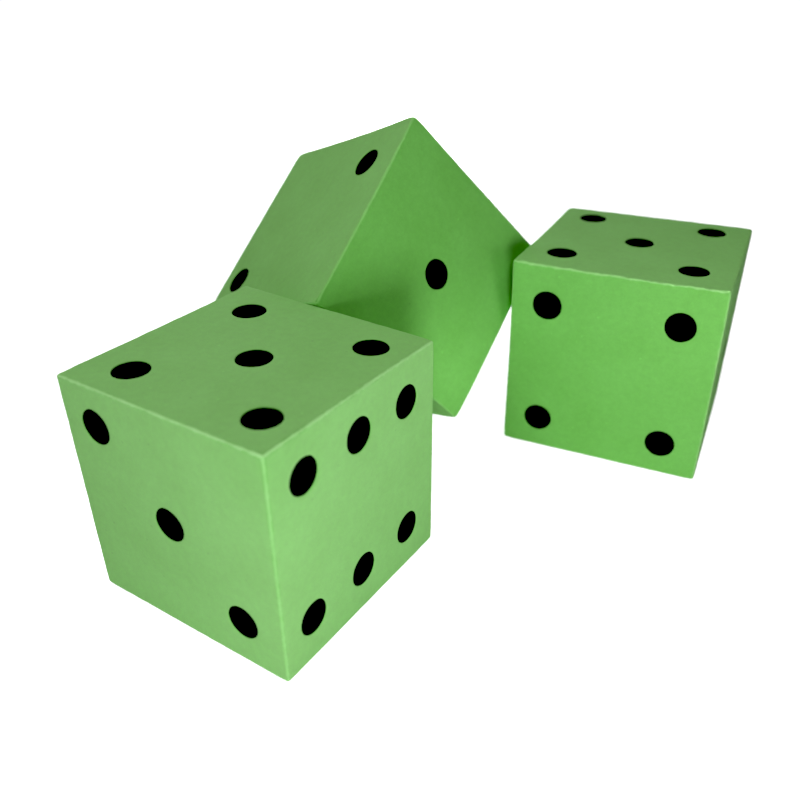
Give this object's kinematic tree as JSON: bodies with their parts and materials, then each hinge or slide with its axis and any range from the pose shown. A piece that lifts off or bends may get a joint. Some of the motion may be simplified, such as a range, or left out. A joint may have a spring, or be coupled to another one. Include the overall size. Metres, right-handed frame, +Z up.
{
  "type": "giant yard dice",
  "caption": "Set of giant foam yard dice at rest after a throw: two standing flat and one leaning between them, each a soft green cube with black inlaid spots.",
  "frame": {"origin": "on the ground, under the middle of the left die", "axes": "+Z up; the left die's edges run along the axes, its three faces the front (-Y), its six faces right (+X) and its five is on top"},
  "size_m": [0.3532, 0.4614, 0.2458],
  "materials": {
    "green_foam": "matte",
    "black_foam": "matte"
  },
  "bodies": {
    "left_die": {"left_die_five_pip_1": "black_foam", "left_die_five_pip_2": "black_foam", "left_die_five_pip_3": "black_foam", "left_die_five_pip_4": "black_foam", "left_die_five_pip_5": "black_foam", "left_die_foam_block": "green_foam", "left_die_four_pip_1": "black_foam", "left_die_four_pip_2": "black_foam", "left_die_four_pip_3": "black_foam", "left_die_four_pip_4": "black_foam", "left_die_one_pip": "black_foam", "left_die_six_pip_row_1": "black_foam", "left_die_six_pip_row_2": "black_foam", "left_die_three_pip_1": "black_foam", "left_die_three_pip_2": "black_foam", "left_die_three_pip_3": "black_foam", "left_die_two_pip_1": "black_foam", "left_die_two_pip_2": "black_foam"},
    "leaning_die": {"leaning_die_five_pip_1": "black_foam", "leaning_die_five_pip_2": "black_foam", "leaning_die_five_pip_3": "black_foam", "leaning_die_five_pip_4": "black_foam", "leaning_die_five_pip_5": "black_foam", "leaning_die_foam_block": "green_foam", "leaning_die_four_pip_1": "black_foam", "leaning_die_four_pip_2": "black_foam", "leaning_die_four_pip_3": "black_foam", "leaning_die_four_pip_4": "black_foam", "leaning_die_one_pip": "black_foam", "leaning_die_six_pip_row_1": "black_foam", "leaning_die_six_pip_row_2": "black_foam", "leaning_die_three_pip_1": "black_foam", "leaning_die_three_pip_2": "black_foam", "leaning_die_three_pip_3": "black_foam", "leaning_die_two_pip_1": "black_foam", "leaning_die_two_pip_2": "black_foam"},
    "right_die": {"right_die_five_pip_1": "black_foam", "right_die_five_pip_2": "black_foam", "right_die_five_pip_3": "black_foam", "right_die_five_pip_4": "black_foam", "right_die_five_pip_5": "black_foam", "right_die_foam_block": "green_foam", "right_die_four_pip_1": "black_foam", "right_die_four_pip_2": "black_foam", "right_die_four_pip_3": "black_foam", "right_die_four_pip_4": "black_foam", "right_die_one_pip": "black_foam", "right_die_six_pip_row_1": "black_foam", "right_die_six_pip_row_2": "black_foam", "right_die_three_pip_1": "black_foam", "right_die_three_pip_2": "black_foam", "right_die_three_pip_3": "black_foam", "right_die_two_pip_1": "black_foam", "right_die_two_pip_2": "black_foam"}
  },
  "joints": [
    {"name": "leaning_die_lift", "type": "slide", "parent": "left_die", "child": "leaning_die", "axis": [0, 0, 1], "range_m": [0, 0.25]},
    {"name": "right_die_quarter_roll", "type": "hinge", "parent": "left_die", "child": "right_die", "pos_m": [0.19447, 0.31245, 0], "axis": [-0.1444, 0.9895, 0], "range_deg": [0, 90]}
  ]
}
